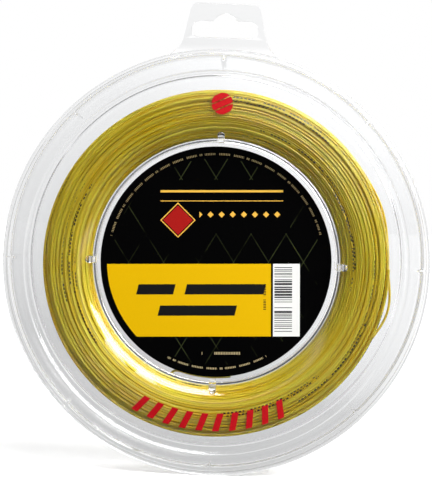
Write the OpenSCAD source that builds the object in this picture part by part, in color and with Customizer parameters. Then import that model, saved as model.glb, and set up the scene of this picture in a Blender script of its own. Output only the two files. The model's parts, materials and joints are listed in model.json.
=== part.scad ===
// Reel of racket string: two dished clear mouldings snapped back to back make the spool, the string
// is wound in the groove between them, and a round label card sits in the recess of the front one.
// The reel's axis is Y, its front faces -Y, its hang tab points up +Z, and the origin is on the axis
// halfway between the two flanges.

/* [Flanges] */
// Outer diameter of the two flanges
reel_d = 205; // [190:1:240]
// Clear width between the flanges
groove_w = 18; // [14:0.5:24]
// Thickness of the moulded plastic
wall = 1.4; // [1:0.1:2]
// Diameter at which the flange steps outward to its raised band
step_d = 183; // [178:0.5:186]
// How far the raised band stands out from the rest of the flange
step_h = 1; // [0.6:0.1:2]

/* [Rim] */
// Depth of the lip that turns in from the flange's edge
lip_h = 5; // [3.5:0.1:6]
// Thickness of the lip
lip_t = 1.6; // [1:0.1:2]
// Number of gussets between the flange and its lip
gussets = 8; // [4:1:16]
// Thickness of a gusset
gusset_t = 0.7; // [0.5:0.1:1.2]
// Length of a gusset along the flange, from the lip inwards
gusset_l = 5.6; // [3:0.1:7]
// How far a gusset stops short of the lip's edge
gusset_short = 1; // [0.5:0.1:2]

/* [Hub] */
// Diameter of the hub at the bottom of the string groove
hub_d = 120; // [110:0.5:124]
// Thickness of the round floor that closes each half at the middle
floor_t = 1.4; // [1:0.1:2]
// Number of snap lugs round the hub
lugs = 4; // [3:1:8]
// Width of a snap lug, which is also its round end's diameter
lug_w = 3.4; // [3.2:0.1:5]
// How far a lug stands proud of the hub's wall at the floor
lug_proud = 0.5; // [0.3:0.1:1.2]
// Length of a lug along the radius, from its foot to its round end
lug_l = 5.3; // [4:0.1:6.5]
// Width of the snap tongue, across the radius
tongue_w = 2; // [1.6:0.1:2.4]
// Thickness of the snap tongue, along the radius
tongue_t = 0.8; // [0.6:0.1:0.9]
// How far the tongue reaches into the front half
tongue_h = 4; // [2:0.1:5]
// Clearance round the tongue in its socket
snap_gap = 0.1; // [0.05:0.01:0.15]

/* [Hang tab] */
// Height of the tab above the flange's edge
tab_h = 21.5; // [18:0.5:26]
// Width of the tab at its top
tab_top_w = 34; // [33:0.5:40]
// Width of the tab where its sides begin to flare
tab_base_w = 42; // [40:0.5:50]
// How far each side flares out to the flange's edge
tab_flare = 5; // [3:0.5:8]
// Radius of the tab's top corners
tab_corner_r = 4; // [2:0.5:6]
// Width of the hang slot
slot_w = 31.5; // [26:0.5:32]
// Height of the slot's two wings
slot_wing_h = 7.6; // [6:0.1:8]
// Height of the slot at its middle, over the peg's hump
slot_h = 11.3; // [10:0.1:12]
// Width of the slot's hump
slot_hump_w = 12; // [10:0.5:14]
// Plastic left between the slot and the top of the tab
slot_top_wall = 5; // [3:0.5:6]

/* [Label] */
// Gap between the label card's edge and the recess's wall
label_gap = 2.4; // [1.6:0.1:6]
// Thickness of the label card
label_t = 0.35; // [0.2:0.05:0.6]
// How far the card sits to the left of the hub's centre
label_left = 0.25; // [0:0.05:0.5]
// How far the card sits above the hub's centre
label_up = 0.25; // [0:0.05:0.5]
// Turn of the card in its recess, in degrees
label_turn = 2; // [-6:1:6]
// Thickness of the two stickers on the card
sticker_t = 0.12; // [0.08:0.01:0.3]
// Width of the bare card left between the label's edge and the wide sticker
sticker_margin = 3.2; // [2:0.1:5]
// Bare card left between the label's edge and the narrow sticker's lower corner
patch_margin = 1.6; // [1:0.1:4]
// Height of the wide sticker
sticker_h = 35.5; // [28:0.1:38]
// How far the top edge of both stickers lies below the card's centre
sticker_drop = 0.8; // [0:0.1:3]
// Gap between the two stickers
sticker_gap = 1; // [0.6:0.1:2]
// Width of the tall narrow sticker
patch_w = 13.1; // [8:0.1:13.4]

/* [String] */
// Diameter of the string
string_d = 1.22; // [1.1:0.01:1.35]
// Outer diameter of the wound string
winding_d = 167; // [150:0.5:172]
// Radius of the winding's crowned outer corners
winding_corner_r = 6; // [3:0.5:8]
// How many turns of string each round rib of the winding stands for
turns_in_rib = 3; // [2:1:6]
// Clearance between the winding and the plastic round it
winding_gap = 0.15; // [0.1:0.05:0.3]
// How far the last turn bows off the winding in its lower loop
lower_bow = 1.8; // [0.5:0.1:3]
// How far the last turn bows off the winding in its upper loop
upper_bow = 0.8; // [0.5:0.1:3]
// Angle of the lower loop's middle, in degrees from the right
lower_bow_angle = -15; // [-25:1:-10]
// Angle of the upper loop's middle, in degrees from the right
upper_bow_angle = 19; // [15:1:30]
// How far the last turn wanders across the winding
turn_wander = 5; // [3:0.5:8]
// Diameter of the hole in the rear bell wall that anchors the string's first end
anchor_d = 1.9; // [1.6:0.1:2.2]
// How far behind the middle of the reel that hole lies
anchor_back = 3.6; // [3.2:0.1:4.5]
// Place of the hole round the hub, in degrees from the right
anchor_angle = 250; // [230:5:255]
// Length of the string's first end along the rear recess, in degrees round the hub
start_angle = 24; // [15:1:40]
// Gap between that end and the lugs that it passes
start_off = 1; // [0.5:0.1:2]

/* [Hidden] */
$fn = 96;
reel_r = reel_d / 2;
hub_r = hub_d / 2;
step_r = step_d / 2;
half_groove = groove_w / 2;
bell_r = half_groove + wall;       // outer radius of the hub's bell-shaped wall
root_r = hub_r + half_groove;      // where that wall runs out into the flat flange
floor_r = hub_r - wall;            // radius of the floor inside the bell
band_in = half_groove + step_h;    // inner face of the raised band
band_out = band_in + wall;         // outer face of the raised band
lug_foot_r = floor_r - lug_proud;
lug_end_r = lug_foot_r + lug_l - lug_w / 2;
tongue_r = (lug_foot_r + hub_r) / 2;
gusset_in = lip_h - wall - gusset_short;
tab_top = reel_r + tab_h;
slot_top = tab_top - slot_top_wall;
slot_bottom = slot_top - slot_h;
label_r = floor_r - label_gap;
label_top = floor_t + label_t;
sticker_r = label_r - sticker_margin;
sticker_bottom = -sticker_drop - sticker_h;
patch_left = sqrt(pow(label_r - patch_margin, 2) - pow(sticker_bottom, 2)) - patch_w;
sticker_right = patch_left - sticker_gap;
winding_r = winding_d / 2;
winding_half = half_groove - winding_gap;
rib_pitch = turns_in_rib * string_d;
rib_overlap = 1.16;                // a rib's diameter over that pitch, so that the ribs meet in valleys
rib_r = rib_overlap * rib_pitch / 2;
crown_half = winding_half - winding_corner_r;
corner_x = winding_r - winding_corner_r;
corner_bend_r = winding_corner_r - rib_r;
root_bend_r = winding_half - rib_r;
corner_end = crown_half + corner_bend_r * PI / 2;
flank_end = corner_end + max(corner_x - root_r, 0);
root_end = flank_end + root_bend_r * PI / 2;
ribs = round(root_end / rib_pitch);
seat_r = winding_r + string_d / 2 + winding_gap;
bow_half_angle = 14;
turn_angle = 390;                  // the last turn laps its own start
turn_start = 120;
turn_rings = 78;
start_bend_angle = 5;              // degrees round the hub in which the first end turns along the wall
start_rings = 12;
tube_sides = 8;
bend_steps = 8;
overlap = 0.01;
plenty = 20;                       // longer than any wall a cutter has to pass through
clear_plastic = [0.9, 0.92, 0.93, 0.45];

// Stands the reel up: what is drawn lying flat, front side up, turns to face -Y
module upright() {
    rotate([90, 0, 0]) children();
}

module round_the_axis(count) {
    for (i = [0 : count - 1]) rotate([0, 0, i * 360 / count]) children();
}

// Half section of one flange with its bell-shaped hub wall and its floor, before the groove is cut
module half_section() {
    square([floor_r + wall / 2, floor_t]);
    intersection() {
        translate([root_r, 0]) circle(r = bell_r);
        square([root_r, bell_r]);
    }
    translate([root_r - overlap, half_groove]) square([step_r - root_r + wall, wall]);
    translate([step_r, half_groove]) square([wall, step_h + wall]);
    translate([step_r, band_in]) square([reel_r - step_r, wall]);
    translate([reel_r - lip_t, band_out - lip_h]) square([lip_t, lip_h]);
}

// The space that the string groove takes out of one half
module groove_section() {
    translate([root_r, 0]) circle(r = half_groove);
}

// Thin web that braces the lip against the raised band
module gusset() {
    x = reel_r - lip_t - gusset_l;
    rotate([90, 0, 0])
        linear_extrude(height = gusset_t, center = true)
            polygon([[x, band_in + overlap], [x + gusset_l + overlap, band_in + overlap],
                     [x + gusset_l + overlap, band_in - gusset_in]]);
}

// Round-ended lug that leans on the hub's wall inside the recess
module lug() {
    linear_extrude(height = half_groove) {
        translate([lug_foot_r, -lug_w / 2]) square([lug_end_r - lug_foot_r, lug_w]);
        translate([lug_end_r, 0]) circle(d = lug_w);
    }
}

// One half of the spool, lying flat with its outer side up
module half_shell() {
    difference() {
        union() {
            rotate_extrude() half_section();
            round_the_axis(lugs) lug();
        }
        rotate_extrude() groove_section();
    }
    round_the_axis(gussets) gusset();
}

module tongue(extra) {
    width = tongue_w + 2 * extra;
    thickness = tongue_t + 2 * extra;
    translate([tongue_r - thickness / 2, -width / 2, -overlap])
        cube([thickness, width, tongue_h + extra + overlap]);
}

function arc(centre, r, from, to, steps) =
    [for (i = [0 : steps]) let (a = from + (to - from) * i / steps) centre + r * [cos(a), sin(a)]];

function bend(p0, p1, p2, steps) =
    [for (i = [0 : steps]) let (t = i / steps) (1 - t) * (1 - t) * p0 + 2 * t * (1 - t) * p1 + t * t * p2];

function flipped(points) = [for (i = [len(points) - 1 : -1 : 0]) [-points[i][0], points[i][1]]];

// Right-hand side of the tab's outline, from the flange's edge to the middle of its top
function tab_side() =
    let (foot_x = tab_base_w / 2 + tab_flare,
         foot = [foot_x, sqrt(reel_r * reel_r - foot_x * foot_x)],
         base = [tab_base_w / 2, reel_r],
         top = [tab_top_w / 2, tab_top - tab_corner_r],
         up = (top - base) / norm(top - base))
    concat([[foot_x, reel_r / 2], foot],
           bend(foot, base, base + up * tab_flare, bend_steps),
           arc(top - [tab_corner_r, 0], tab_corner_r, 0, 90, bend_steps));

module hang_slot() {
    wing_r = slot_wing_h / 2;
    hump_r = slot_hump_w / 2;
    for (side = [-1, 1]) translate([side * (slot_w / 2 - wing_r), slot_bottom + wing_r]) circle(r = wing_r);
    translate([wing_r - slot_w / 2, slot_bottom]) square([slot_w - slot_wing_h, slot_wing_h]);
    translate([0, slot_top - hump_r]) circle(r = hump_r);
}

module hang_tab() {
    side = tab_side();
    translate([0, 0, band_in])
        linear_extrude(height = wall)
            difference() {
                polygon(concat(side, flipped(side)));
                circle(r = reel_r - lip_t / 2);
                hang_slot();
            }
}

module front_shell() {
    color(clear_plastic)
        upright()
            difference() {
                union() {
                    half_shell();
                    hang_tab();
                }
                round_the_axis(lugs) tongue(snap_gap);
            }
}

// Hole through the rear bell wall, along the radius
module anchor_hole() {
    rotate([0, 0, anchor_angle])
        translate([lug_foot_r - wall, 0, -anchor_back])
            rotate([0, 90, 0])
                cylinder(d = anchor_d, h = root_r - lug_foot_r);
}

module rear_shell() {
    color(clear_plastic)
        upright() {
            difference() {
                mirror([0, 0, 1]) half_shell();
                anchor_hole();
            }
            round_the_axis(lugs) tongue(0);
        }
}

// Half section of the winding inside its ribs, whose centres lie on its outline
module winding_core() {
    intersection() {
        union() {
            translate([root_r, 0]) circle(r = root_bend_r);
            translate([root_r, -root_bend_r]) square([reel_r - root_r, 2 * root_bend_r]);
        }
        union() {
            translate([0, -root_bend_r]) square([corner_x, 2 * root_bend_r]);
            translate([0, -crown_half]) square([winding_r - rib_r, 2 * crown_half]);
            for (side = [-1, 1]) translate([corner_x, side * crown_half]) circle(r = corner_bend_r);
        }
    }
}

// Point on an arc, this way along it from its start, which is at angle from
function on_arc(centre, r, from, way) =
    let (a = from + way / r * 180 / PI) centre + r * [cos(a), sin(a)];

// Centre of a rib, this way along the core's outline from the middle of its crown
function rib_centre(way) =
    way < crown_half ? [winding_r - rib_r, way]
    : way < corner_end ? on_arc([corner_x, crown_half], corner_bend_r, 0, way - crown_half)
    : way < flank_end ? [corner_x + corner_end - way, root_bend_r]
    : on_arc([root_r, 0], root_bend_r, 90, way - flank_end);

// The wound string as one crowned ring that fills the groove up to its outer diameter. The round ribs all
// round its section stand for bundles of turns.
module string_winding() {
    color([0.75, 0.65, 0.2])
        upright()
            rotate_extrude() {
                winding_core();
                for (side = [-1, 1], rib = [0 : ribs - 1])
                    let (centre = rib_centre((rib + 0.5) * root_end / ribs))
                        translate([centre[0], side * centre[1]]) circle(r = rib_r);
            }
}

function bump(t) = abs(t) < 1 ? (1 + cos(180 * t)) / 2 : 0;

function wrapped(a) = (a + 540) % 360 - 180;

// Distance of the last turn's centre from the axis at angle a
function turn_r(a) =
    seat_r + lower_bow * bump(wrapped(a - lower_bow_angle) / bow_half_angle)
           + upper_bow * bump(wrapped(a - upper_bow_angle) / bow_half_angle);

function unit(v) = v / norm(v);

// A length of string along a route that never runs parallel to the reel's axis
module string_along(route) {
    end = len(route) - 1;
    rings = [for (i = [0 : end])
                 let (along = unit(route[min(i + 1, end)] - route[max(i - 1, 0)]),
                      side = unit(cross(along, [0, 0, 1])),
                      up = cross(side, along))
                 [for (k = [0 : tube_sides - 1])
                     let (b = k * 360 / tube_sides)
                     route[i] + string_d / 2 * (cos(b) * side + sin(b) * up)]];
    points = [for (ring = rings) for (p = ring) p];
    walls = [for (i = [0 : end - 1]) for (k = [0 : tube_sides - 1])
                 let (next = (k + 1) % tube_sides, here = i * tube_sides, there = here + tube_sides)
                 [here + k, here + next, there + next, there + k]];
    first = [for (k = [tube_sides - 1 : -1 : 0]) k];
    last = [for (k = [0 : tube_sides - 1]) end * tube_sides + k];
    polyhedron(points, concat([first], walls, [last]));
}

// The last turn of string, which lies on the winding and bows off it in two shallow loops
module string_outer_turn() {
    color([0.85, 0.76, 0.35])
        upright()
            string_along([for (i = [0 : turn_rings])
                              let (t = i / turn_rings, a = turn_start + turn_angle * t)
                              [turn_r(a) * cos(a), turn_r(a) * sin(a), turn_wander * (0.5 - t)]]);
}

// The string's first end, which comes through the anchor hole and lies along the rear recess's wall
module string_start() {
    run_r = lug_foot_r - string_d / 2 - start_off;
    floor_h = -floor_t - string_d / 2 - winding_gap;
    hole_h = -anchor_back;
    face_r = root_r - sqrt(pow(winding_half, 2) - pow(anchor_back, 2)) - string_d / 4;
    mouth_r = root_r - sqrt(pow(bell_r, 2) - pow(anchor_back, 2));
    turned = run_r * [cos(start_bend_angle), sin(start_bend_angle)];
    color([0.75, 0.65, 0.2])
        upright()
            rotate([0, 0, anchor_angle])
                string_along(concat(
                    [[face_r, 0, hole_h]],
                    [for (p = bend([mouth_r, 0], [run_r, 0], turned, bend_steps)) [p[0], p[1], hole_h]],
                    [for (i = [1 : start_rings])
                        let (t = i / start_rings, a = start_bend_angle + start_angle * t)
                        [run_r * cos(a), run_r * sin(a), hole_h + (floor_h - hole_h) * sin(90 * t)]]));
}

// Puts what is drawn about the card's centre in its place in the front recess
module on_label(height) {
    upright()
        translate([-label_left, label_up, height])
            rotate([0, 0, label_turn])
                children();
}

module label_card() {
    color([0.03, 0.03, 0.03])
        on_label(floor_t) cylinder(r = label_r, h = label_t);
}

module wide_sticker() {
    color([0.95, 0.75, 0.02])
        on_label(label_top)
            intersection() {
                cylinder(r = sticker_r, h = sticker_t);
                translate([-plenty - sticker_r, sticker_bottom, 0])
                    cube([plenty + sticker_r + sticker_right, sticker_h, sticker_t]);
            }
}

module barcode_sticker() {
    color([0.96, 0.96, 0.96])
        on_label(label_top)
            translate([patch_left, sticker_bottom, 0])
                cube([patch_w, sticker_h, sticker_t]);
}

front_shell();
rear_shell();
string_start();
string_winding();
string_outer_turn();
label_card();
wide_sticker();
barcode_sticker();
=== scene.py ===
"""Reel of racket string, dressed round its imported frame: two clear shells, the string wound between
them, and the label card with its two stickers. Sizes are in millimetres. The reel's axis is Y, its
front faces -Y, and a height h in a shell is measured outwards from the middle plane.
"""

import json
import math

import bmesh
import bpy
import numpy as np
from mathutils import Matrix, Vector

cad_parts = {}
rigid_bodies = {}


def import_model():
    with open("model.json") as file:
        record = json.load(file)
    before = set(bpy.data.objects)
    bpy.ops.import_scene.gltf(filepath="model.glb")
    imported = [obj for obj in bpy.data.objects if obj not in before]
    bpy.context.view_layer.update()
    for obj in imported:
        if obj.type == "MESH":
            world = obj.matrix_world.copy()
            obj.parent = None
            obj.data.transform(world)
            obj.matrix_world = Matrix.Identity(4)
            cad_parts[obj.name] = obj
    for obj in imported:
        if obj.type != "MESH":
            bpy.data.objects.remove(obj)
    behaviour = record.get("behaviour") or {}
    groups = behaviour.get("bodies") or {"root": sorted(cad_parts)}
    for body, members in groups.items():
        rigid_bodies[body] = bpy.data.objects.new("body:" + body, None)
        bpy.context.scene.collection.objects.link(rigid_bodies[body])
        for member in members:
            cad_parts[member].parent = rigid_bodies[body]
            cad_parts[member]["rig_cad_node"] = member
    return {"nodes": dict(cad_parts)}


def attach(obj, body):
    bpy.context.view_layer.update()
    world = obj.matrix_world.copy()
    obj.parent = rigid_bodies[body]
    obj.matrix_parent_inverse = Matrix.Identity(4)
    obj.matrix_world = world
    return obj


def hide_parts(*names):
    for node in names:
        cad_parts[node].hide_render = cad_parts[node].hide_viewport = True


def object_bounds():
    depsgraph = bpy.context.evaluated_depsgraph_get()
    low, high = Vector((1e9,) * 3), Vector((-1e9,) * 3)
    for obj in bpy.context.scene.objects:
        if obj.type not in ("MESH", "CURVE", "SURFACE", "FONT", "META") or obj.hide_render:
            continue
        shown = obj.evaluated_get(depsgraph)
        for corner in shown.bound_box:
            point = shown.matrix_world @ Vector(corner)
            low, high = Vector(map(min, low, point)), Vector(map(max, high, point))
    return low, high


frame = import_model()
cad_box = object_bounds()
MM = 0.001

# ---- Camera -----------------------------------------------------------------------------------------------
# Straight in front of the reel and a little above it. The label is level in the picture, and the mouldings
# lean 2 degrees to the right, because the card lies in its recess with that turn.
camera_distance = 620
camera_above = 2.8
camera_left = 0.5
camera_roll = 2.0
picture_width = 206.9  # at the front face
aim_right, aim_up = -0.36, 11.54  # from the reel's axis to the middle of the picture, along its own sides
film_width = 36

above, left, roll = (math.radians(a) for a in (camera_above, camera_left, camera_roll))
forward = Vector((math.sin(left) * math.cos(above), math.cos(left) * math.cos(above), -math.sin(above)))
level_right = forward.cross(Vector((0, 0, 1))).normalized()
level_up = level_right.cross(forward)
picture_right = level_right * math.cos(roll) + level_up * math.sin(roll)
picture_up = level_up * math.cos(roll) - level_right * math.sin(roll)
aim = Vector((0, cad_box[0][1] / MM, 0)) + picture_right * aim_right + picture_up * aim_up
camera = bpy.data.objects.new("camera", bpy.data.cameras.new("camera"))
bpy.context.scene.collection.objects.link(camera)
stand = Matrix((picture_right, picture_up, -forward)).transposed().to_4x4()
camera.matrix_world = Matrix.Translation((aim - forward * camera_distance) * MM) @ stand
camera.data.sensor_fit = "HORIZONTAL"
camera.data.sensor_width = film_width
camera.data.lens = film_width * camera_distance / picture_width
camera.data.clip_start = 0.01
bpy.context.scene.camera = camera

# ---- Solids -----------------------------------------------------------------------------------------------
# Meshes come from outlines in millimetres: prisms, plates with rounded edges and turned solids. They are
# closed, so that they can be joined and cut, and smooth but for their sharp edges.
round_steps = 384
smooth_angle = math.radians(35)


def add_object(name, mesh):
    """Object with this mesh, smooth but for its sharp edges"""
    mesh.shade_smooth()
    mesh.set_sharp_from_angle(angle=smooth_angle)
    made = bpy.data.objects.new(name, mesh)
    bpy.context.scene.collection.objects.link(made)
    return made


def solid(name, points, faces):
    """Closed mesh from points in millimetres, its faces turned outwards"""
    mesh = bpy.data.meshes.new(name)
    mesh.from_pydata((np.asarray(points, float) * MM).tolist(), [], faces)
    return add_object(name, welded(mesh))


def welded(mesh):
    """Joins points that coincide, and turns the faces outwards"""
    tool = bmesh.new()
    tool.from_mesh(mesh)
    bmesh.ops.remove_doubles(tool, verts=tool.verts, dist=1e-7)
    bmesh.ops.recalc_face_normals(tool, faces=tool.faces)
    tool.to_mesh(mesh)
    tool.free()
    return mesh


def prism(name, outline, other_outline):
    """Solid between two outlines with the same number of points"""
    count = len(outline)
    faces = [tuple(range(count)), tuple(range(2 * count - 1, count - 1, -1))]
    faces += [(k, (k + 1) % count, (k + 1) % count + count, k + count) for k in range(count)]
    return solid(name, outline + other_outline, faces)


def arc(centre, r, start, end, steps):
    """Points along an arc, between two angles in degrees"""
    turns = np.radians(np.linspace(start, end, steps + 1))
    return [(centre[0] + r * math.cos(t), centre[1] + r * math.sin(t)) for t in turns]


def rounded(corners, steps=4, support=0.05):
    """Outline through (x, y, radius) corners, each an arc with a point just outside each of its ends. The
    first and the last corner only give directions."""
    points = []
    for i in range(1, len(corners) - 1):
        here, radius = np.array(corners[i][:2]), corners[i][2]
        back = np.array(corners[i - 1][:2]) - here
        on = np.array(corners[i + 1][:2]) - here
        back, on = back / np.linalg.norm(back), on / np.linalg.norm(on)
        half = math.acos(np.clip(back @ on, -1, 1)) / 2
        reach = radius / math.tan(half)
        middle = here + (back + on) / np.linalg.norm(back + on) * radius / math.sin(half)
        first, last, sweep = here + back * reach - middle, here + on * reach - middle, math.pi - 2 * half
        points.append(here + back * (reach + support))
        for t in np.linspace(0, 1, steps + 1):
            spoke = (first * math.sin((1 - t) * sweep) + last * math.sin(t * sweep)) / math.sin(sweep)
            points.append(middle + spoke)
        points.append(here + on * (reach + support))
    return [tuple(p) for p in points]


def lathe(name, section, side, ring=False):
    """Solid turned about Y from a half section that runs from axis to axis, or from a closed ring"""
    turns = np.arange(round_steps) * 2 * math.pi / round_steps
    rows = section if ring else section[1:-1]
    points = [(r * math.cos(t), side * h, r * math.sin(t)) for r, h in rows for t in turns]
    row_starts = [i * round_steps for i in range(len(rows))]
    pairs = list(zip(row_starts, row_starts[1:] + row_starts[:1] if ring else row_starts[1:]))
    faces = []
    for k in range(round_steps):
        j = (k + 1) % round_steps
        faces += [(a + k, a + j, b + j, b + k) for a, b in pairs]
    if not ring:
        points += [(0, side * section[0][1], 0), (0, side * section[-1][1], 0)]
        first_pole, last_pole, last_row = len(points) - 2, len(points) - 1, row_starts[-1]
        for k in range(round_steps):
            j = (k + 1) % round_steps
            faces += [(first_pole, j, k), (last_pole, last_row + k, last_row + j)]
    return solid(name, points, faces)


def plate(name, outlines, low, high, side, edge, edge_steps=2):
    """Plate between two heights with rounded edges. The outlines are (x, z) loops, and those after the first
    are its holes."""
    curve = bpy.data.curves.new(name, "CURVE")
    curve.dimensions, curve.fill_mode = "2D", "BOTH"
    curve.extrude, curve.bevel_depth, curve.offset = (high - low) / 2 - edge, edge, -edge
    curve.bevel_resolution = edge_steps
    for outline in outlines:
        spline = curve.splines.new("POLY")
        spline.points.add(len(outline) - 1)
        spline.use_cyclic_u = True
        for point, (x, z) in zip(spline.points, outline):
            point.co = (x, z, 0, 1)
    drawn = bpy.data.objects.new(name, curve)
    mesh = bpy.data.meshes.new_from_object(drawn)
    bpy.data.objects.remove(drawn)
    stood = Matrix.Translation((0, side * (low + high) / 2, 0)) @ Matrix.Rotation(math.pi / 2, 4, "X")
    mesh.transform(Matrix.Scale(MM, 4) @ stood)
    return add_object(name, welded(mesh))


def turned(piece, degrees):
    """Turns a piece about the reel's axis, from +X towards +Z"""
    piece.data.transform(Matrix.Rotation(math.radians(-degrees), 4, "Y"))
    return piece


def combine(target, pieces, operation):
    """Adds the pieces to the target, or cuts them from it, and removes them"""
    for piece in pieces:
        change = target.modifiers.new("combine", "BOOLEAN")
        change.operation, change.solver, change.object = operation, "MANIFOLD", piece
    target.data = bpy.data.meshes.new_from_object(target.evaluated_get(bpy.context.evaluated_depsgraph_get()))
    target.modifiers.clear()
    for piece in pieces:
        bpy.data.objects.remove(piece)
    target.data.shade_smooth()
    target.data.set_sharp_from_angle(angle=smooth_angle)
    return target


# ---- Materials --------------------------------------------------------------------------------------------
# Shader maths is written as arithmetic on sockets. A material finds its place in millimetres in the
# object's own coordinates, which are those of the frame.


class Socket:
    """An output in a node tree; arithmetic on it adds Math nodes to the same tree"""

    def __init__(self, tree, end=None):
        self.tree, self.end = tree, end

    def node(self, kind, settings, values, out=0):
        """Adds a node, its settings first and then the values or links of its sockets"""
        made = self.tree.nodes.new(kind)
        for key, value in settings.items():
            setattr(made, key, value)
        set_inputs(made, values)
        return Socket(self.tree, made.outputs[out])

    def out(self, name):
        """Another output of the same node"""
        return Socket(self.tree, self.end.node.outputs[name])

    def axis(self, name):
        """One coordinate of a place or a direction"""
        return self.node("ShaderNodeSeparateXYZ", {}, {0: self}, out=name)

    def math(self, operation, *values):
        return self.node("ShaderNodeMath", {"operation": operation}, dict(enumerate(values)))

    def __add__(self, other):
        return self.math("ADD", self, other)

    def __sub__(self, other):
        return self.math("SUBTRACT", self, other)

    def __rsub__(self, other):
        return self.math("SUBTRACT", other, self)

    def __mul__(self, other):
        return self.math("MULTIPLY", self, other)

    def __truediv__(self, other):
        return self.math("DIVIDE", self, other)

    def __mod__(self, other):
        return self.math("FLOORED_MODULO", self, other)

    def __lt__(self, other):
        return self.math("LESS_THAN", self, other)

    def __gt__(self, other):
        return self.math("GREATER_THAN", self, other)

    def __abs__(self):
        return self.math("ABSOLUTE", self)

    def ramp(self, low, high):
        """0 at low, 1 at high, straight between and level outside"""
        return self.node("ShaderNodeMapRange", {}, {"Value": self, "From Min": low, "From Max": high})

    def mix(self, a, b):
        """Colour a where this is 0, colour b where it is 1"""
        return self.node("ShaderNodeMix", {"data_type": "RGBA"}, {0: self, 6: a, 7: b}, out=2)


def new_material(name):
    """The material and its place in millimetres on the object, as a socket"""
    made = bpy.data.materials.new(name)
    made.use_nodes = True
    tree = Socket(made.node_tree)
    spot = tree.node("ShaderNodeTexCoord", {}, {}, out="Object")
    scaled = tree.node("ShaderNodeVectorMath", {"operation": "SCALE"}, {0: spot, "Scale": 1 / MM})
    return made, scaled


def noise(spot, scale, detail=3):
    """Noise from 0 to 1 with about this many features in a millimetre"""
    return spot.node("ShaderNodeTexNoise", {}, {"Vector": spot, "Scale": scale, "Detail": detail})


def bump(height, strength, depth):
    """Normal from a height of 0 to 1 that stands for this depth in millimetres"""
    return height.node(
        "ShaderNodeBump", {}, {"Height": height, "Strength": strength, "Distance": depth * MM}
    )


def set_inputs(node, values):
    """Links a node's sockets, or sets them to constants"""
    for key, value in values.items():
        if isinstance(value, Socket):
            node.id_data.links.new(value.end, node.inputs[key])
        else:
            node.inputs[key].default_value = value


def surface(material, values):
    """Sets or links the sockets of the material's Principled shader"""
    set_inputs(material.node_tree.nodes["Principled BSDF"], values)


def dress(piece, material, replaces=()):
    """Gives a piece its material and its body, and hides the nodes that it stands for"""
    piece.data.materials.clear()
    piece.data.materials.append(material)
    if "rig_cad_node" not in piece:
        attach(piece, "root")
    if replaces:
        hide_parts(*replaces)
    return piece


# ---- Clear shells -----------------------------------------------------------------------------------------
# Each half of the spool is one injection moulding in clear polystyrene: a flange with a raised outer band and
# a turned-in lip, a bell-shaped hub wall and a flat floor. Every edge has the small radius of its mould.
reel_r, step_r, hub_r = 102.5, 91.5, 60
wall, half_groove, step_h = 1.4, 9, 1
lip_h, lip_t = 5, 1.6
root_r, bell_r = hub_r + half_groove, half_groove + wall
band_in, band_out = half_groove + step_h, half_groove + step_h + wall
floor_top = 1.37  # a hair under the card
parting = 0.03  # half the seam between the two mouldings
mould_edge_r, rim_edge_r, lip_edge_r, lip_root_r = 0.8, 0.7, 0.6, 0.5
step_slope, inner_step_shift = 0.5, 0.6  # half the slope's width, and how much further out it is inside
flat_support = 1  # points this far along the flat walls keep them flat
parting_edge = 0.15


def shell_section():
    """Half section of one moulding, from the axis along its outer side and back along the groove"""
    fillet_h = floor_top + mould_edge_r
    fillet_x = root_r - math.sqrt((bell_r + mould_edge_r) ** 2 - fillet_h**2)
    meet = math.degrees(math.asin(fillet_h / (bell_r + mould_edge_r)))
    inner_step_r = step_r + inner_step_shift
    outline = rounded(
        [
            (root_r, bell_r, 0),
            (step_r - step_slope, bell_r, mould_edge_r),
            (step_r + step_slope, band_out, mould_edge_r),
            (reel_r, band_out, rim_edge_r),
            (reel_r, band_out - lip_h, lip_edge_r),
            (reel_r - lip_t, band_out - lip_h, lip_edge_r),
            (reel_r - lip_t, band_in, lip_root_r),
            (inner_step_r + step_slope, band_in, mould_edge_r),
            (inner_step_r - step_slope, half_groove, mould_edge_r),
            (root_r, half_groove, 0),
        ]
    )
    return (
        [(0, floor_top), (fillet_x - flat_support, floor_top)]
        + arc((fillet_x, fillet_h), mould_edge_r, -90, -meet, 8)
        + arc((root_r, 0), bell_r, 180 - meet, 90, 28)[1:]
        + [(root_r + flat_support, bell_r), *outline, (root_r + flat_support, half_groove)]
        + arc((root_r, 0), half_groove, 90, 179, 30)
        + [(hub_r - parting_edge, parting), (hub_r - flat_support, parting), (0, parting)]
    )


# Four hollow lugs on the hub take the snap tongues, and eight thin gussets brace the lip.
lugs, lug_w, lug_foot_r, lug_end_r, lug_edge_r = 4, 3.4, 58.1, 61.7, 0.7
tongue_r, tongue_w, tongue_t, tongue_h, snap_gap = 59.05, 2, 0.8, 4, 0.1
gussets, gusset_t, gusset_l, gusset_in = 8, 0.7, 5.6, 2.6
sunk = 0.4  # how far a rib is sunk in the wall that it grows from


def lug(side, angle):
    """Rib with a round end, from the parting to the flange"""
    round_end = arc((lug_end_r, 0), lug_w / 2, -90, 90, 16)
    outline = [(lug_foot_r, -lug_w / 2), *round_end, (lug_foot_r, lug_w / 2)]
    return turned(plate("lug", [outline], 2 * parting, half_groove, side, edge=lug_edge_r), angle)


def gusset(side, angle):
    """Thin triangular web from the band's inner face to the lip"""
    outer = reel_r - lip_t
    profile = [
        (outer - gusset_l - sunk, band_in + sunk),
        (outer - gusset_l, band_in),
        (outer, band_in - gusset_in),
        (outer + sunk, band_in - gusset_in),
        (outer + sunk, band_in + sunk),
    ]
    low, high = ([(r, side * h, z) for r, h in profile] for z in (-gusset_t / 2, gusset_t / 2))
    return turned(prism("gusset", low, high), angle)


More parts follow.
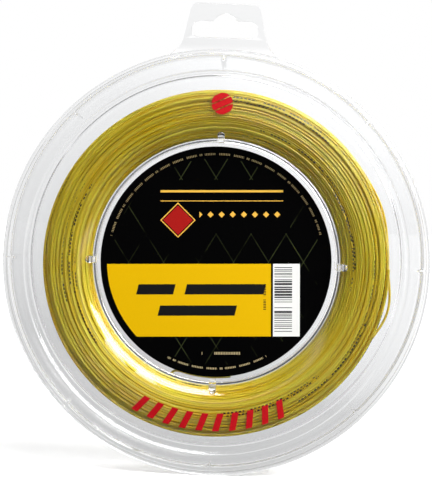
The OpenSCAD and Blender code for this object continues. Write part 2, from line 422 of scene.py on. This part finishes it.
def tongue_blocks(name, gap, foot):
    """The four tongues up to this height above the middle plane, or the room for them with a gap all round"""
    tip, half_t, half_w = -tongue_h - gap, tongue_t / 2 + gap, tongue_w / 2 + gap
    section = [(tip, -half_w), (tip, half_w), (foot, half_w), (foot, -half_w)]
    inner, outer = ([(r, h, z) for h, z in section] for r in (tongue_r - half_t, tongue_r + half_t))
    return [turned(prism(name, inner, outer), k * 360 / lugs) for k in range(lugs)]


def half_spool(name, side):
    """One half of the spool; side is -1 for the front and 1 for the rear"""
    groove = lathe("groove", arc((root_r, 0), half_groove + sunk, 0, 360, 64)[:-1], side, ring=True)
    feet = [lug(side, k * 360 / lugs) for k in range(lugs)]
    webs = [gusset(side, k * 360 / gussets) for k in range(gussets)]
    trimmed = [combine(foot, [groove.copy()], "DIFFERENCE") for foot in feet]
    bpy.data.objects.remove(groove)
    return combine(lathe(name, shell_section(), side), trimmed + webs, "UNION")


def keep_flats(piece):
    """Shades each corner by its largest faces, so that flat walls stay flat up to their rounded edges"""
    change = piece.modifiers.new("keep_flats", "WEIGHTED_NORMAL")
    change.keep_sharp = True
    piece.data = bpy.data.meshes.new_from_object(piece.evaluated_get(bpy.context.evaluated_depsgraph_get()))
    piece.modifiers.clear()
    return piece


# Both halves are faintly grey, with the slight waviness of a moulded sheet and a little haze.
clear_plastic, spot = new_material("clear_polystyrene")
haze = noise(spot, 0.05).ramp(0.45, 0.75)
ripple = noise(spot, 0.03, detail=2)
surface(
    clear_plastic,
    {
        "Base Color": (0.975, 0.978, 0.982, 1),
        "Roughness": haze * 0.05 + 0.015,
        "Transmission Weight": 1.0,
        "IOR": 1.5,
        "Normal": bump(ripple, 0.12, 0.6),
    },
)

# ---- Rear shell -------------------------------------------------------------------------------------------
# The rear half has the four snap tongues and, low on its bell wall, the hole that anchors the string.
anchor_d, anchor_h, anchor_angle = 1.9, 3.6, 250

rear_shell = half_spool("rear_spool_half", 1)
combine(rear_shell, tongue_blocks("tongue", 0, sunk), "UNION")
drill_rim = arc((0, anchor_h), anchor_d / 2, 0, 360, 24)[:-1]
drill = prism("drill", *([(r, h, z) for z, h in drill_rim] for r in (lug_foot_r - wall, root_r - wall)))
combine(rear_shell, [turned(drill, anchor_angle)], "DIFFERENCE")
dress(keep_flats(rear_shell), clear_plastic, ["rear_shell"])

# ---- String -----------------------------------------------------------------------------------------------
# One length of 110 m of 1.22 mm racket string, translucent golden polymer with a glossy skin. It is wound in
# about 240 turns from the hub outwards, so its strands lie nearly side by side but wander and cross.
string_d = 1.22
winding_r, widest_r = 83.3, 77.5
inner_bulge_r, outer_bulge_r = 24, 13  # radii with which each side bulges towards its flange
layers, turn_pitch = 23, 1.32
uneven, uneven_angle = 0.25, 310  # the winding is a little thicker at the lower right, and thinner opposite
crossing = 0.4  # of each turn, in its middle, takes the string to its next place in the winding
fine_wander, slow_wander, slow_edge_wander = 0.12, 0.15, 0.25  # outwards; the last one near the flanges
side_wander, side_edge_hold = 0.35, 0.15  # sideways, and less of it near the flanges
fine_knots, slow_knots, side_knots = 6, 2.3, 4  # in each turn
turn_steps, strand_sides, loose_sides = 132, 8, 12
turns_in_piece = 81
strip_margin, strip_used = 0.04, 0.92  # of each loop's strip in the map
twist_length, twist_swing, swing_length = 70, 0.6, 41  # how the printed side turns round the string
clearance = 0.05
reach_in_groove = half_groove - string_d / 2 - clearance
chance = np.random.default_rng(11)


def wander(turns, per_turn):
    """Smooth random walk about 0 along the string, with this many knots in each turn"""
    place = turns * per_turn
    knots = chance.normal(size=int(place[-1]) + 5)
    k = place.astype(int)
    t = place - k
    weights = ((1 - t) ** 3, 3 * t**3 - 6 * t**2 + 4, -3 * t**3 + 3 * t**2 + 3 * t + 1, t**3)
    return sum(w * knots[k + i] for i, w in enumerate(weights)) / 6


def strip_map(rows, sides, loops):
    """Map of a strand's walls, one strip for each loop of the reel; its two ends get no room"""
    strip = np.minimum(np.arange(rows - 1) * loops // (rows - 1), loops - 1)[:, None]
    place = (np.arange(rows) * loops / (rows - 1))[:, None]
    low = (strip + strip_margin + strip_used * np.arange(sides)[None, :] / sides) / loops
    high = low + strip_used / sides / loops
    here, there = (np.broadcast_to(end - strip, low.shape) for end in (place[:-1], place[1:]))
    corners = np.stack([here, low, here, high, there, high, there, low], axis=-1)
    corners = corners.reshape(-1, 4, 2)[:, ::-1].reshape(-1, 2)
    return np.vstack([corners, np.zeros((2 * sides, 2))])


def strand(name, route, travelled, sides, loops):
    """Tube of string along a route; it keeps the length travelled and the side of its printed line"""
    along = np.gradient(route, axis=0)
    along /= np.linalg.norm(along, axis=1)[:, None]
    out = np.cross(along, (0, 1, 0))
    out /= np.linalg.norm(out, axis=1)[:, None]
    across = np.cross(out, along)
    turns = np.arange(sides) * 2 * math.pi / sides
    ring = np.cos(turns)[None, :, None] * out[:, None] + np.sin(turns)[None, :, None] * across[:, None]
    points = (route[:, None] + ring * string_d / 2).reshape(-1, 3)
    rows = len(route)
    row_starts = np.arange(rows - 1)[:, None] * sides
    first, second = (row_starts + (np.arange(sides) + step) % sides for step in (0, 1))
    walls = np.stack([first, second, second + sides, first + sides], axis=-1).reshape(-1, 4)
    caps = [tuple(range(sides)), tuple(range((rows - 1) * sides, rows * sides))]
    mesh = bpy.data.meshes.new(name)
    mesh.from_pydata((points * MM).tolist(), [], walls[:, ::-1].tolist() + [caps[0], caps[1][::-1]])
    flat = strip_map(rows, sides, loops)
    mesh.uv_layers.new(name="OFBake").uv.foreach_set("vector", flat.astype(np.float32).ravel())
    twist = travelled / twist_length + twist_swing * np.sin(travelled / swing_length)
    ink_side = np.cos(turns[None, :] - twist[:, None])
    for key, values in (("travelled", np.repeat(travelled, sides)), ("ink_side", ink_side.ravel())):
        mesh.attributes.new(key, "FLOAT", "POINT").data.foreach_set("value", values.astype(np.float32))
    return add_object(name, mesh)


def length_along(route):
    """Length of string up to each point of a route"""
    steps = np.linalg.norm(np.diff(route, axis=0), axis=1)
    return np.concatenate([[0], np.cumsum(steps)])


def room_at(r):
    """How far a strand's centre may lie from the middle plane, at this distance from the axis"""
    in_root = math.sqrt(reach_in_groove**2 - max(root_r - r, 0) ** 2)
    bulge_r = inner_bulge_r if r < widest_r else outer_bulge_r
    return min(in_root, reach_in_groove - bulge_r + math.sqrt(bulge_r**2 - (r - widest_r) ** 2))


def winding_route():
    """Centre line of all turns, layer by layer across the groove and back"""
    stops = []
    innermost, outermost = root_r - reach_in_groove + clearance, winding_r - string_d / 2
    for layer, r in enumerate(np.linspace(innermost, outermost, layers)):
        room = room_at(r)
        row = np.linspace(-room, room, int(2 * room / turn_pitch) + 1)
        stops += [(r, y) for y in row[:: 1 if layer % 2 else -1]]
    stops = np.array(stops)
    turns = np.arange((len(stops) - 1) * turn_steps + 1) / turn_steps
    whole = np.minimum(turns.astype(int), len(stops) - 2)
    crossed = np.clip((turns - whole - 0.5) / crossing + 0.5, 0, 1)[:, None]
    r, y = (stops[whole] * (1 - crossed) + stops[whole + 1] * crossed).T
    edge = np.clip(np.abs(y) / reach_in_groove, 0, 1) ** 4
    angles = turns * 2 * math.pi
    filled = (r - innermost) / (winding_r - innermost)
    r = r + uneven * filled * np.cos(angles - math.radians(uneven_angle))
    r = r + wander(turns, fine_knots) * fine_wander
    r = r + wander(turns, slow_knots) * (slow_wander + slow_edge_wander * edge) * (1 + filled**3)
    y = y + wander(turns, side_knots) * (side_wander - side_edge_hold * edge)
    over = np.maximum(np.hypot(np.minimum(r - root_r, 0), y) / reach_in_groove, 1)
    r = np.where(r < root_r, root_r + (r - root_r) / over, r)
    y = y / over
    return np.stack([r * np.cos(angles), y, r * np.sin(angles)], axis=1)


string, spot = new_material("golden_string")
travelled = spot.node("ShaderNodeAttribute", {"attribute_name": "travelled"}, {}, out="Fac")
ink_side = spot.node("ShaderNodeAttribute", {"attribute_name": "ink_side"}, {}, out="Fac")
print_repeat, print_length, mark_pitch, mark_length = 230, 52, 1.9, 1.25
word_wave, gap_wave, word_level, inked_side = 0.9, 0.41, -0.9, 0.72
marks = (travelled % print_repeat < print_length) * (travelled % mark_pitch < mark_length)
words = travelled.math("SINE", travelled * word_wave) + travelled.math("SINE", travelled * gap_wave)
ink = marks * (words > word_level) * (ink_side > inked_side)
strand_tint = travelled.node(
    "ShaderNodeTexNoise", {"noise_dimensions": "1D"}, {"W": travelled, "Scale": 0.006}
).ramp(0.35, 0.65)
tint = noise(spot, 0.035, detail=4).ramp(0.3, 0.7) * 0.3 + strand_tint * 0.7
golden = tint.mix((0.80, 0.51, 0.004, 1), (0.99, 0.875, 0.08, 1))
surface(
    string,
    {
        "Base Color": ink.mix(golden, (0.02, 0.015, 0.01, 1)),
        "Roughness": tint * 0.1 + 0.24,
        "Subsurface Weight": 0.15,
        "Subsurface Radius": (1.0, 0.75, 0.15),
        "Subsurface Scale": 1.2 * MM,
        "Specular IOR Level": 0.35,
        "Coat Weight": 0.15,
        "Coat Roughness": 0.12,
    },
)

winding = winding_route()
wound = length_along(winding)
piece_steps = turns_in_piece * turn_steps
for number, start in enumerate(range(0, len(winding) - 1, piece_steps)):
    part = slice(start, start + piece_steps + 1)
    loops = math.ceil((len(winding[part]) - 1) / turn_steps)
    piece = strand(f"string_turns_{number + 1}", winding[part], wound[part], strand_sides, loops)
    dress(piece, string, ["string_winding"])
print(f"string in the winding: {wound[-1] * MM:.1f} m, {(len(winding) - 1) / turn_steps:.0f} turns")

# The last turn lies on the winding and bows off it in two shallow loops, to the right. Both of its ends sink
# in among the other turns.
seat_r, end_sunk, end_share = winding_r + 0.35, 1.1, 0.2
bows = ((-14, 3.1), (20, 1.0))  # angle and height
bow_half_angle, turn_start, turn_angle, turn_wander = 15, 120, 390, 5


def last_turn_route():
    share = np.linspace(0, 1, 521)
    angles = turn_start + turn_angle * share
    r = seat_r + uneven * np.cos(np.radians(angles - uneven_angle))
    r -= end_sunk * np.clip(1 - np.minimum(share, 1 - share) / end_share, 0, 1) ** 2
    for middle, height in bows:
        off = np.clip(((angles - middle + 540) % 360 - 180) / bow_half_angle, -1, 1)
        r += height * (1 + np.cos(math.pi * off)) / 2
    turns = np.radians(angles)
    return np.stack([r * np.cos(turns), -turn_wander * (0.5 - share), r * np.sin(turns)], axis=1)


last_route = last_turn_route()
last_turn = strand("string_last_turn", last_route, length_along(last_route), loose_sides, 1)
dress(last_turn, string, ["string_outer_turn"])

# The first end comes through the anchor hole and lies along the rear recess's wall.
run_r, bend_angle, run_angle = 56.49, 5, 24  # where it lies, and the angles that its bend and its run take
behind_wall, floor_gap = 0.4, 0.15


def first_end_route():
    """Out of the winding, through the hole's middle, round a bend and along the wall down to the floor"""
    mouth_r = root_r - math.sqrt(bell_r**2 - anchor_h**2)
    hole_r = root_r - math.sqrt(half_groove**2 - anchor_h**2)
    share = np.linspace(0, 1, 40)[:, None]
    turns = np.radians(bend_angle + run_angle * share)
    sinking = anchor_h + (wall + string_d / 2 + floor_gap - anchor_h) * np.sin(share * math.pi / 2)
    laid = np.hstack([run_r * np.cos(turns), sinking, run_r * np.sin(turns)])
    start, corner, end = np.array([(mouth_r, anchor_h, 0), (run_r, anchor_h, 0), laid[0]])
    bent = (1 - share) ** 2 * start + 2 * share * (1 - share) * corner + share**2 * end
    return np.vstack([(hole_r + behind_wall, anchor_h, 0), bent, laid[1:]])


first_route = first_end_route()
first_end = strand("string_first_end", first_route, length_along(first_route), loose_sides, 1)
dress(turned(first_end, anchor_angle), string, ["string_start"])

# ---- Front shell ------------------------------------------------------------------------------------------
# The front half has the sockets for the tongues and the hang tab with its euro slot. The tab stands up from
# the band's outer edge, a hair below the band's face.
tab_h, tab_top_w, tab_base_w, tab_flare, tab_corner_r = 21.5, 34, 42, 5, 4
tab_edge_r, tab_set_back = 0.3, 0.08
slot_w, slot_wing_h, slot_h, slot_hump_w, slot_top_wall = 31.5, 7.6, 11.3, 12, 5


def tab_outline():
    """From the right foot over the top to the left one, and back inside the rim"""
    foot_x = tab_base_w / 2 + tab_flare
    foot = np.array((foot_x, math.sqrt(reel_r**2 - foot_x**2)))
    base = np.array((tab_base_w / 2, reel_r))
    top = np.array((tab_top_w / 2, reel_r + tab_h - tab_corner_r))
    knee = base + (top - base) / np.linalg.norm(top - base) * tab_flare
    flare = [(1 - t) ** 2 * foot + 2 * t * (1 - t) * base + t * t * knee for t in np.linspace(0, 1, 13)]
    side = [tuple(p) for p in flare] + arc((top[0] - tab_corner_r, top[1]), tab_corner_r, 0, 90, 12)
    spread = math.degrees(math.acos(foot_x / reel_r))
    sill = arc((0, 0), reel_r - lip_t / 2, 180 - spread, spread, 40)
    return side + [(-x, z) for x, z in side[::-1]] + sill


def slot_outline():
    """Euro slot: a hump in the middle of a long slot with round ends"""
    top = reel_r + tab_h - slot_top_wall
    wing_r, hump_r = slot_wing_h / 2, slot_hump_w / 2
    middle, end = top - slot_h + wing_r, slot_w / 2 - wing_r
    meet = math.degrees(math.asin((middle + wing_r - top + hump_r) / hump_r))
    return (
        arc((end, middle), wing_r, -90, 90, 16)
        + arc((0, top - hump_r), hump_r, meet, 180 - meet, 24)
        + arc((-end, middle), wing_r, 90, 270, 16)
    )


front_shell = half_spool("front_spool_half", -1)
tab = plate(
    "tab", [tab_outline(), slot_outline()], band_in, band_out - tab_set_back, -1, edge=tab_edge_r
)
combine(front_shell, [tab], "UNION")
combine(front_shell, tongue_blocks("socket", snap_gap, 0), "DIFFERENCE")
dress(keep_flats(front_shell), clear_plastic, ["front_shell"])

# ---- Print on the front flange ----------------------------------------------------------------------------
# Red ink on the flat part of the flange: a row of ten slanted bars along the bottom and a barred disc at the
# top. It is a thin opaque film, printed after moulding.
ink_h, film = bell_r + 0.01, 0.04
bars_r, bars_half_height, bars_width, bars_slant = 76.7, 4.3, 3.2, 2.6
bars_middle, bars_span, bars_count = 269.5, 52, 10
disc_r, disc_place_r, disc_slices, disc_gap = 5.2, 76.7, 3, 0.5
disc_cos, disc_sin = 0.9, 0.42  # its bars rise by 25 degrees
print_edge = 0.01

red_ink, spot = new_material("red_ink")
wear = noise(spot, 1.2).ramp(0.35, 0.75)
surface(
    red_ink,
    {
        "Base Color": wear.mix((0.44, 0.003, 0.006, 1), (0.54, 0.006, 0.012, 1)),
        "Roughness": wear * 0.15 + 0.4,
        "Specular IOR Level": 0.2,
    },
)


def ink_film(name, outline):
    """Flat mark on the front flange"""
    return plate(name, [outline], ink_h, ink_h + film, -1, edge=print_edge, edge_steps=0)


def bar(angle):
    """Slanted bar across a radius of the flange"""
    foot, head = -bars_width / 2 - bars_slant / 2, -bars_width / 2 + bars_slant / 2
    low, high = bars_r - bars_half_height, bars_r + bars_half_height
    outline = [(high, foot), (high, foot + bars_width), (low, head + bars_width), (low, head)]
    return turned(ink_film("bar", outline), angle)


def disc_slice(number):
    """One of the disc's bars, counted upwards"""
    low = (2 * number / disc_slices - 1) * disc_r + disc_gap / 2
    high = (2 * (number + 1) / disc_slices - 1) * disc_r - disc_gap / 2
    start, end = (math.degrees(math.asin(height / disc_r)) for height in (low, high))
    outline = arc((0, 0), disc_r, start, end, 12) + arc((0, 0), disc_r, 180 - end, 180 - start, 12)
    tilted = [(x * disc_cos - z * disc_sin, x * disc_sin + z * disc_cos + disc_place_r) for x, z in outline]
    return ink_film("disc_slice", tilted)


printed_marks = [bar(bars_middle + (k / (bars_count - 1) - 0.5) * bars_span) for k in range(bars_count)]
printed_marks += [disc_slice(k) for k in range(disc_slices)]
tool = bmesh.new()
for mark in printed_marks:
    tool.from_mesh(mark.data)
    bpy.data.objects.remove(mark)
film_mesh = bpy.data.meshes.new("flange_print")
tool.to_mesh(film_mesh)
tool.free()
dress(add_object("flange_print", film_mesh), red_ink)

# ---- Label card -------------------------------------------------------------------------------------------
# Round card printed black under a satin varnish, laid face up on the floor of the front recess.
label_left, label_up = 0.25, 0.25
label_turn = math.radians(2)
card_face = -1.75
face_depth = 0.06  # what lies deeper than this in the card is bare board
fine_pitch, fine_mark, gap_share, group_level = 0.8, 0.42, 0.43, -0.75


def on_label(spot):
    """Right and up on the label from its centre, in millimetres"""
    x, z = spot.axis("X") + label_left, spot.axis("Z") - label_up
    across = x * math.cos(label_turn) + z * math.sin(label_turn)
    upwards = z * math.cos(label_turn) - x * math.sin(label_turn)
    return across, upwards


def between(value, low, high):
    """1 where the value lies between these two, and 0 elsewhere"""
    return (value > low) * (value < high)


def greeked(along, wave=1.9):
    """Small plain marks in groups, in place of a line of fine print"""
    groups = along.math("SINE", along * wave) + along.math("SINE", along * (wave * gap_share))
    return (along % fine_pitch < fine_mark) * (groups > group_level)


# Places on the label are given across and upwards from its centre, or as a radius and an angle about it.
black_card, spot = new_material("black_label_card")
across, upwards = on_label(spot)
out_r = across.math("SQRT", across * across + upwards * upwards)
angle = across.math("ARCTAN2", upwards, across) * (180 / math.pi)
rim_scale, foot_scale = 0.92, 0.9  # millimetres in a degree
rim_line = between(out_r, 52.0, 53.0) * between(angle, 14, 166) * greeked(angle * rim_scale)
foot_line = between(out_r, 51.6, 52.5) * between(angle, -117, -62) * greeked(angle * foot_scale)
small_line = between(upwards, -45.2, -43.9) * between(across, -7, 12) * greeked(across, 0.5)
rules = ((abs(upwards - 34.5) < 0.55) + (abs(upwards - 29.8) < 0.2)) * between(across, -27, 32.5)
diamond_pitch, diamond_half = 5.4, 1.5
diamonds = abs(across % diamond_pitch - diamond_pitch / 2) + abs(upwards - 23.2) < diamond_half
diamonds = diamonds * between(across, -8.1, 32.4)
from_lozenge = abs(across + 18.5) + abs(upwards - 20.5)
red_lozenge = from_lozenge < 7.2
gold_edge = between(from_lozenge, 7.9, 8.6)
lattice_pitch, lattice_lean, half_line = 17, 0.62, 0.3
rising, falling = across - upwards * lattice_lean, across + upwards * lattice_lean
lattice = abs(falling % lattice_pitch - lattice_pitch / 2) < half_line
lattice = lattice + (abs(rising % lattice_pitch - lattice_pitch / 2) < half_line)
lattice = lattice * (1 - between(upwards, 14, 40) * between(across, -34, 36)) * (out_r < 50.5)
lattice = lattice * noise(spot, 0.045).ramp(0.42, 0.66)
grain = noise(spot, 2.5)
black = grain.mix((0.0006, 0.0006, 0.0007, 1), (0.0016, 0.0016, 0.0017, 1))
printed = lattice.mix(black, (0.030, 0.036, 0.014, 1))
printed = red_lozenge.mix(printed, (0.36, 0.012, 0.01, 1))
printed = (rules + diamonds + gold_edge).mix(printed, (0.80, 0.46, 0.07, 1))
printed = rim_line.mix(printed, (0.26, 0.20, 0.10, 1))
printed = (foot_line + small_line).mix(printed, (0.50, 0.40, 0.22, 1))
surface(
    black_card,
    {
        "Base Color": (spot.axis("Y") > card_face + face_depth).mix(printed, (0.62, 0.61, 0.58, 1)),
        "Roughness": grain * 0.12 + 0.42,
        "Normal": bump(grain, 0.05, 0.05),
        "Specular IOR Level": 0.01,
    },
)
dress(frame["nodes"]["label_card"], black_card)

# ---- Yellow sticker ---------------------------------------------------------------------------------------
# Varnished paper sticker that names the string; two plain rows of ink stand where its words would be.
yellow_paper, spot = new_material("yellow_sticker_paper")
across, upwards = on_label(spot)
slant, half_row = 0.25, 2.5
slanted = across - upwards * slant
upper_row = (abs(upwards + 13.2) < half_row) * (between(slanted, -35, -17) + between(slanted, -11.5, 27))
lower_row = (abs(upwards + 23.6) < half_row) * between(slanted, -22, 15.5)
fine_print = between(across, 23, 24.3) * between(upwards, -24, -10.5) * greeked(upwards)
grain = noise(spot, 1.8)
yellow = grain.mix((0.70, 0.415, 0.0, 1), (0.76, 0.45, 0.0, 1))
surface(
    yellow_paper,
    {
        "Base Color": (upper_row + lower_row + fine_print).mix(yellow, (0.006, 0.006, 0.006, 1)),
        "Roughness": grain * 0.12 + 0.4,
        "Normal": bump(grain, 0.12, 0.05),
        "Specular IOR Level": 0.12,
    },
)
dress(frame["nodes"]["wide_sticker"], yellow_paper)

# ---- White sticker ----------------------------------------------------------------------------------------
# Plain white paper sticker with a pattern of bars across it, printed by a thermal printer.
white_paper, spot = new_material("white_sticker_paper")
across, upwards = on_label(spot)
module, blank_share = 0.35, 0.48  # width of the thinnest bar, and how many are left out
row = upwards.math("FLOOR", upwards / module)
drawn_lot = row.node("ShaderNodeTexWhiteNoise", {"noise_dimensions": "1D"}, {"W": row})
bars = (drawn_lot > blank_share) * between(across, 28.4, 37.0) * between(upwards, -34.3, -2.4)
grain = noise(spot, 2.2)
white = grain.mix((0.80, 0.80, 0.77, 1), (0.88, 0.88, 0.86, 1))
surface(
    white_paper,
    {
        "Base Color": bars.mix(white, (0.02, 0.02, 0.022, 1)),
        "Roughness": grain * 0.1 + 0.55,
        "Normal": bump(grain, 0.12, 0.05),
    },
)
dress(frame["nodes"]["barcode_sticker"], white_paper)

# ---- Studio -----------------------------------------------------------------------------------------------
# White ground and surroundings, one wide soft lamp in front and high on the right, and two bright panes in
# it. Surroundings and ground have levels of their own for each kind of ray; the ground's are painted light.
ground_size, ground_z = 6000, cad_box[0][2] / MM
lamps = (  # name, width, length, distance, place round the reel's axis, lean from that axis, radiance
    ("soft_lamp", 1150, 620, 880, 54, 64, 9.8),
    ("right_pane", 110, 540, 860, 36.5, 43.5, 6.5),
    ("upper_pane", 100, 540, 860, 56, 43.5, 6.5),
)
slope_right, slope_up = 0.43, 0.92  # towards the backdrop's light side
fall_off, shaded_level, full_level = (-0.28, 0.1), 0.63, 1.15
dim_range, dim_share = (0.09, 0.1), 0.19  # of the backdrop's upper part
sheen_from, sheen_peak, sheen_to, sheen_level = 0.03, 0.13, 0.3, 1.1
ambient, rear_light, front_level = 0.015, 2.0, 0.03
behind_range, rear_range, far_range = (-0.2, 0.3), (0, 0.6), (-0.4, -0.05)
near_ground_level = 0.25


def seen_by_camera(tree):
    """Masks for what the camera sees straight, through the clear plastic, and mirrored once in it"""
    straight = tree.node("ShaderNodeLightPath", {}, {}, out="Is Camera Ray")
    traced = straight.math("MAXIMUM", straight.out("Is Glossy Ray"), straight.out("Is Transmission Ray"))
    traced = traced * (straight.out("Diffuse Depth") < 0.5) * (1 - straight)
    mirrored = traced * (straight.out("Glossy Depth") > 0.5) * (straight.out("Glossy Depth") < 1.5)
    return straight, traced - mirrored, mirrored


def backdrop_light(heading):
    """Level behind the clear plastic, which falls off towards the lower left, and level for mirrored rays,
    with a faint sheen low in front"""
    rise = heading.axis("X") * slope_right + heading.axis("Z") * slope_up
    level = rise.ramp(*fall_off) * (full_level - shaded_level) + shaded_level
    level = level * (1 - heading.axis("Z").ramp(*dim_range) * dim_share)
    sheen = rise.ramp(sheen_from, sheen_peak) * (1 - rise.ramp(sheen_peak, sheen_to)) * sheen_level
    behind = heading.axis("Y").ramp(*behind_range)
    return level, behind.math("MAXIMUM", behind, sheen)


# The ground's emission is painted light. For camera rays it glows more towards the far ground, where the
# lamps light it less, so that it stays white. Through the clear plastic it shows the backdrop's painted
# shade, which falls off towards the lower left, and in mirrors the painted sheen. To every ray but the
# camera's its colour is near black, a painted shade that keeps its bounced light off the reel.
ground_painted_light, spot = new_material("ground")
straight, through, mirrored = seen_by_camera(spot)
heading = spot.node("ShaderNodeVectorMath", {"operation": "NORMALIZE"}, {0: spot})
behind_plastic, behind = backdrop_light(heading)
far = heading.axis("Z").ramp(*far_range)
level = straight * (far * (1 - near_ground_level) + near_ground_level)
level = level + through * behind_plastic + mirrored * behind
surface(
    ground_painted_light,
    {
        "Base Color": straight.mix((0.05, 0.05, 0.05, 1), (0.9, 0.9, 0.9, 1)),
        "Roughness": 0.9,
        "Specular IOR Level": 0.0,
        "Emission Color": spot.node("ShaderNodeCombineColor", {}, {0: level, 1: level, 2: level}),
        "Emission Strength": 1.0,
    },
)
ground = solid(
    "ground",
    [(x * ground_size / 2, y * ground_size / 2, ground_z) for x, y in ((-1, -1), (1, -1), (1, 1), (-1, 1))],
    [(0, 1, 2, 3)],
)
ground.data.materials.append(ground_painted_light)

for name, width, length, distance, place, lean, radiance in lamps:
    lamp = bpy.data.lights.new(name, "AREA")
    lamp.shape, lamp.size, lamp.size_y = "RECTANGLE", width * MM, length * MM
    lamp.energy = radiance * math.pi * width * MM * length * MM
    hung = bpy.data.objects.new(name, lamp)
    hung.matrix_world = (
        Matrix.Rotation(math.radians(90 - place), 4, "Y")
        @ Matrix.Rotation(math.radians(90 - lean), 4, "X")
        @ Matrix.Translation((0, 0, distance * MM))
    )
    bpy.context.scene.collection.objects.link(hung)

world = bpy.data.worlds.new("studio")
bpy.context.scene.world = world
world.use_nodes = True
sky = Socket(world.node_tree)
straight, through, mirrored = seen_by_camera(sky)
heading = sky.node("ShaderNodeTexCoord", {}, {}, out="Generated")
behind_plastic, behind = backdrop_light(heading)
strength = straight + through * behind_plastic + mirrored * (behind * (1 - front_level) + front_level)
rear = heading.axis("Y").ramp(*rear_range) * rear_light
strength = strength + (1 - straight - through - mirrored) * (rear + ambient)
set_inputs(world.node_tree.nodes["Background"], {"Color": (1, 1, 1, 1), "Strength": strength})
bpy.context.scene.view_settings.view_transform = "Standard"

# Light crosses many clear walls, and runs along inside them, before it leaves the reel.
cycles = bpy.context.scene.cycles
cycles.max_bounces, cycles.glossy_bounces, cycles.transmission_bounces = 32, 16, 32
